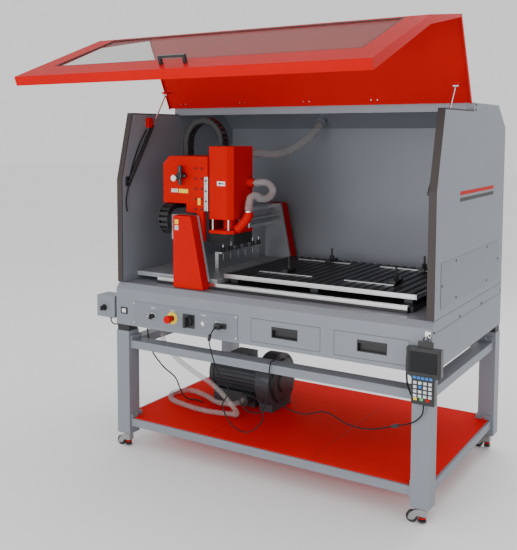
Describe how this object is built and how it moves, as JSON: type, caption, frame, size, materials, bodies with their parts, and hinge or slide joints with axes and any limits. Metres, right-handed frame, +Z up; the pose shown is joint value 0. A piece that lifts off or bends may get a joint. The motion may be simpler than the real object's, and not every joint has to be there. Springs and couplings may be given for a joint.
{
  "type": "cnc router",
  "caption": "Enclosed gantry CNC router with a raised tinted-window lid, control panel, drawers, pendant and vacuum pump on a stand with casters",
  "frame": {"origin": "centre of the footprint on the floor", "axes": "+Z up, -Y towards the operator, +X to the right"},
  "size_m": [1.8404, 1.7, 2.125],
  "materials": {
    "blue_grey_paint": "semi-gloss powder coat",
    "light_grey_paint": "satin",
    "red_paint": "gloss powder coat",
    "black_plastic": "matte",
    "bright_steel": "polished",
    "dark_metal": "satin",
    "red_plastic": "gloss",
    "white_plastic": "satin",
    "caster_metal": "cast",
    "caster_tyre": "matte",
    "clear_window": "clear",
    "clear_hose": "translucent ribbed",
    "cable_rubber": "satin"
  },
  "bodies": {
    "machine": {"stand_frame_left": "blue_grey_paint", "stand_frame_right": "blue_grey_paint", "rail_upper_front": "blue_grey_paint", "rail_upper_rear": "blue_grey_paint", "rail_lower_front": "blue_grey_paint", "rail_lower_rear": "blue_grey_paint", "shelf": "red_paint", "base_housing": "blue_grey_paint", "machine_bed": "dark_metal", "bed_platform": "light_grey_paint", "work_table": "dark_metal", "control_panel": "blue_grey_paint", "side_box": "blue_grey_paint", "side_panel_left": "blue_grey_paint", "side_panel_right": "blue_grey_paint", "back_and_roof": "blue_grey_paint", "vacuum_pump": "dark_metal", "vacuum_hose": "clear_hose", "shelf_lead": "cable_rubber", "pendant_plug": "black_plastic", "pendant_cable": "cable_rubber", "extraction_hose": "clear_hose"},
    "lid": {"lid_shell": "red_paint", "lid_window": "clear_window", "lid_handle": "black_plastic"},
    "gantry": {"gantry_tower_front": "red_paint", "gantry_tower_rear": "red_paint", "gantry_beam": "light_grey_paint", "drag_chain_gantry": "black_plastic"},
    "carriage": {"y_carriage": "red_paint", "drag_chain_head": "black_plastic"},
    "head": {"head_cover": "red_paint", "dust_shoe": "black_plastic", "dust_hose": "clear_hose"},
    "tool": {"spindle_tool": "bright_steel"},
    "y_screw": {"y_ball_screw": "bright_steel"},
    "drawer_left": {"drawer_left": "blue_grey_paint"},
    "drawer_right": {"drawer_right": "blue_grey_paint"},
    "mode_selector": {"mode_selector": "black_plastic"},
    "emergency_stop": {"emergency_stop": "red_plastic"},
    "main_switch": {"main_switch": "black_plastic"},
    "start_button": {"start_button": "white_plastic"},
    "side_box_selector": {"side_box_selector": "black_plastic"},
    "pendant": {"pendant": "black_plastic"},
    "strut_cylinder_left": {"strut_cylinder_left": "black_plastic"},
    "strut_rod_left": {"strut_rod_left": "bright_steel"},
    "strut_cylinder_right": {"strut_cylinder_right": "black_plastic"},
    "strut_rod_right": {"strut_rod_right": "bright_steel"},
    "caster_fork_front_left": {"caster_fork_front_left": "caster_metal"},
    "caster_wheel_front_left": {"caster_wheel_front_left": "caster_tyre"},
    "caster_foot_front_left": {"caster_foot_front_left": "black_plastic"},
    "caster_fork_front_right": {"caster_fork_front_right": "caster_metal"},
    "caster_wheel_front_right": {"caster_wheel_front_right": "caster_tyre"},
    "caster_foot_front_right": {"caster_foot_front_right": "black_plastic"},
    "caster_fork_rear_left": {"caster_fork_rear_left": "caster_metal"},
    "caster_wheel_rear_left": {"caster_wheel_rear_left": "caster_tyre"},
    "caster_foot_rear_left": {"caster_foot_rear_left": "black_plastic"},
    "caster_fork_rear_right": {"caster_fork_rear_right": "caster_metal"},
    "caster_wheel_rear_right": {"caster_wheel_rear_right": "caster_tyre"},
    "caster_foot_rear_right": {"caster_foot_rear_right": "black_plastic"}
  },
  "joints": [
    {"name": "lid_hinge", "type": "hinge", "parent": "machine", "child": "lid", "pos_m": [0.03175, 0.29, 1.77], "axis": [1, 0, 0], "range_deg": [0, 65]},
    {"name": "strut_left_pivot", "type": "hinge", "parent": "machine", "child": "strut_cylinder_left", "pos_m": [-0.74425, -0.146, 1.378], "axis": [1, 0, 0], "range_deg": [-13.91, 0]},
    {"name": "strut_left_slide", "type": "slide", "parent": "strut_cylinder_left", "child": "strut_rod_left", "axis": [0, 0.5623, 0.8269], "range_m": [-0.1032, 0]},
    {"name": "strut_right_pivot", "type": "hinge", "parent": "machine", "child": "strut_cylinder_right", "pos_m": [0.82575, -0.146, 1.378], "axis": [1, 0, 0], "range_deg": [-13.91, 0]},
    {"name": "strut_right_slide", "type": "slide", "parent": "strut_cylinder_right", "child": "strut_rod_right", "axis": [0, 0.5623, 0.8269], "range_m": [-0.1032, 0]},
    {"name": "x_travel", "type": "slide", "parent": "machine", "child": "gantry", "axis": [1, 0, 0], "range_m": [-0.12, 0.87]},
    {"name": "y_travel", "type": "slide", "parent": "gantry", "child": "carriage", "axis": [0, 1, 0], "range_m": [0, 0.585], "deforming": ["extraction_hose", "drag_chain_gantry"]},
    {"name": "z_travel", "type": "slide", "parent": "carriage", "child": "head", "axis": [0, 0, 1], "range_m": [-0.13, 0], "deforming": ["drag_chain_head"]},
    {"name": "spindle", "type": "hinge", "parent": "head", "child": "tool", "pos_m": [-0.24525, 0.03, 1.1], "axis": [0, 0, 1], "continuous": true},
    {"name": "y_screw_turn", "type": "hinge", "parent": "gantry", "child": "y_screw", "pos_m": [-0.38825, 0.322, 1.151], "axis": [0, 1, 0], "range_deg": [0, 21400]},
    {"name": "drawer_left_slide", "type": "slide", "parent": "machine", "child": "drawer_left", "axis": [0, -1, 0], "range_m": [0, 0.28]},
    {"name": "drawer_right_slide", "type": "slide", "parent": "machine", "child": "drawer_right", "axis": [0, -1, 0], "range_m": [0, 0.28]},
    {"name": "mode_selector_turn", "type": "hinge", "parent": "machine", "child": "mode_selector", "pos_m": [-0.54825, -0.211, 0.719], "axis": [0, 1, 0], "range_deg": [-45, 45]},
    {"name": "main_switch_turn", "type": "hinge", "parent": "machine", "child": "main_switch", "pos_m": [-0.33125, -0.211, 0.7195], "axis": [0, 1, 0], "range_deg": [0, 90]},
    {"name": "side_selector_turn", "type": "hinge", "parent": "machine", "child": "side_box_selector", "pos_m": [-0.86925, -0.208, 0.724], "axis": [0, 1, 0], "range_deg": [-45, 45]},
    {"name": "emergency_stop_press", "type": "slide", "parent": "machine", "child": "emergency_stop", "axis": [0, 1, 0], "range_m": [0, 0.006]},
    {"name": "start_button_press", "type": "slide", "parent": "machine", "child": "start_button", "axis": [0, 1, 0], "range_m": [0, 0.004], "stiffness_N_per_m": 300},
    {"name": "pendant_swing", "type": "hinge", "parent": "machine", "child": "pendant", "pos_m": [0.85225, -0.231, 0.797], "axis": [0, -1, 0], "range_deg": [-25, 25], "deforming": ["pendant_cable"]},
    {"name": "caster_swivel_front_left", "type": "hinge", "parent": "machine", "child": "caster_fork_front_left", "pos_m": [-0.74825, -0.168, 0.078], "axis": [0, 0, 1], "continuous": true},
    {"name": "caster_roll_front_left", "type": "hinge", "parent": "caster_fork_front_left", "child": "caster_wheel_front_left", "pos_m": [-0.79225, -0.168, 0.025], "axis": [0, 1, 0], "continuous": true},
    {"name": "caster_foot_screw_front_left", "type": "slide", "parent": "caster_fork_front_left", "child": "caster_foot_front_left", "axis": [0, 0, 1], "range_m": [-0.0085, 0.0018]},
    {"name": "caster_swivel_front_right", "type": "hinge", "parent": "machine", "child": "caster_fork_front_right", "pos_m": [0.82975, -0.168, 0.078], "axis": [0, 0, 1], "continuous": true},
    {"name": "caster_roll_front_right", "type": "hinge", "parent": "caster_fork_front_right", "child": "caster_wheel_front_right", "pos_m": [0.78575, -0.168, 0.025], "axis": [0, 1, 0], "continuous": true},
    {"name": "caster_foot_screw_front_right", "type": "slide", "parent": "caster_fork_front_right", "child": "caster_foot_front_right", "axis": [0, 0, 1], "range_m": [-0.0085, 0.0018]},
    {"name": "caster_swivel_rear_left", "type": "hinge", "parent": "machine", "child": "caster_fork_rear_left", "pos_m": [-0.74825, 0.81, 0.078], "axis": [0, 0, 1], "continuous": true},
    {"name": "caster_roll_rear_left", "type": "hinge", "parent": "caster_fork_rear_left", "child": "caster_wheel_rear_left", "pos_m": [-0.79225, 0.81, 0.025], "axis": [0, 1, 0], "continuous": true},
    {"name": "caster_foot_screw_rear_left", "type": "slide", "parent": "caster_fork_rear_left", "child": "caster_foot_rear_left", "axis": [0, 0, 1], "range_m": [-0.0085, 0.0018]},
    {"name": "caster_swivel_rear_right", "type": "hinge", "parent": "machine", "child": "caster_fork_rear_right", "pos_m": [0.82975, 0.81, 0.078], "axis": [0, 0, 1], "continuous": true},
    {"name": "caster_roll_rear_right", "type": "hinge", "parent": "caster_fork_rear_right", "child": "caster_wheel_rear_right", "pos_m": [0.78575, 0.81, 0.025], "axis": [0, 1, 0], "continuous": true},
    {"name": "caster_foot_screw_rear_right", "type": "slide", "parent": "caster_fork_rear_right", "child": "caster_foot_rear_right", "axis": [0, 0, 1], "range_m": [-0.0085, 0.0018]}
  ],
  "couplings": [
    {"joint": "strut_left_pivot", "follows": "lid_hinge", "ratio": -0.20777},
    {"joint": "strut_left_slide", "follows": "lid_hinge", "m_per_rad": -0.08832},
    {"joint": "strut_right_pivot", "follows": "lid_hinge", "ratio": -0.20777},
    {"joint": "strut_right_slide", "follows": "lid_hinge", "m_per_rad": -0.08832},
    {"joint": "y_screw_turn", "follows": "y_travel", "rad_per_m": 628.32}
  ]
}
